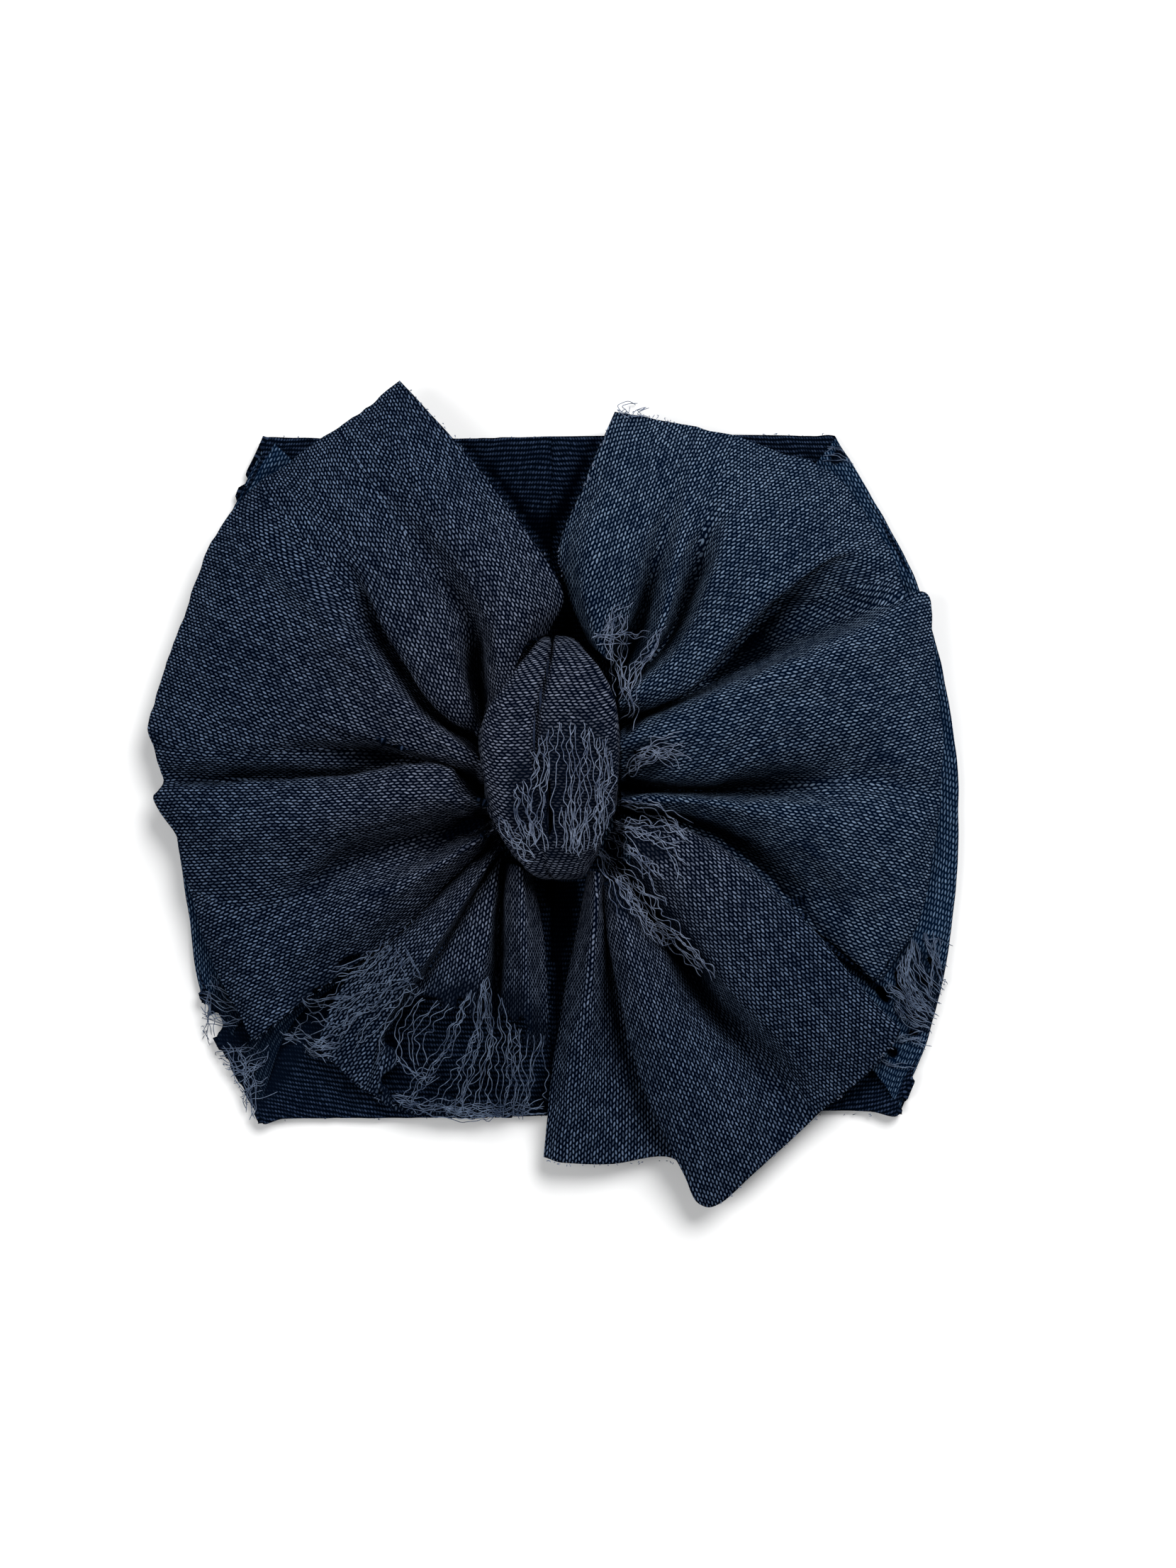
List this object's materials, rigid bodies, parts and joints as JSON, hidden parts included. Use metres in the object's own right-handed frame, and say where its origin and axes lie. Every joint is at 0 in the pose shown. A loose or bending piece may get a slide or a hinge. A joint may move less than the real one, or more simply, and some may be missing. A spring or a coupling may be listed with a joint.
{
  "type": "hair bow",
  "caption": "Soft gathered bow with loops, loose tails and a wrapped knot, on a wide stretch-knit head band lying flat.",
  "frame": {"origin": "On the resting plane, straight below the middle of the knot.", "axes": "+Z up, out of the bow; +Y towards the top edge of the band; +X towards the right as the bow is looked at with +Y up."},
  "size_m": [0.1962, 0.2003, 0.0375],
  "materials": {
    "knit_band": "soft matt stretch knit, dark navy, finely dotted inner face, slate blue heathered outer face",
    "knit_bow": "soft matt stretch knit, heathered navy and slate blue with short light dashes in a brick pattern, worn through in places",
    "sewing_thread": "dark navy spun sewing thread, matt"
  },
  "bodies": {
    "band": {"band_back_panel": "knit_band", "band_front_left": "knit_band", "band_front_right": "knit_band", "knot_wrap": "knit_bow", "gathered_layers": "knit_bow", "gather_thread": "sewing_thread", "wrap_seam_stitches": "sewing_thread"},
    "left_loop": {"left_loop": "knit_bow"},
    "right_loop": {"right_loop": "knit_bow"},
    "left_tail": {"left_tail": "knit_bow"},
    "right_tail": {"right_tail": "knit_bow"}
  },
  "joints": [
    {"name": "left_loop_lift", "type": "hinge", "parent": "band", "child": "left_loop", "pos_m": [-0.0049, 0.0099, 0.037], "axis": [0.2419, 0.9703, 0], "range_deg": [0, 45]},
    {"name": "right_loop_lift", "type": "hinge", "parent": "band", "child": "right_loop", "pos_m": [0.0066, 0.018, 0.037], "axis": [0.2088, -0.978, 0], "range_deg": [0, 45]},
    {"name": "left_tail_lift", "type": "hinge", "parent": "band", "child": "left_tail", "pos_m": [-0.0052, -0.0172, 0.0375], "axis": [-0.956, 0.2934, 0], "range_deg": [0, 35]},
    {"name": "right_tail_lift", "type": "hinge", "parent": "band", "child": "right_tail", "pos_m": [0.0082, -0.0155, 0.0375], "axis": [-0.8832, -0.469, 0], "range_deg": [0, 35]}
  ]
}
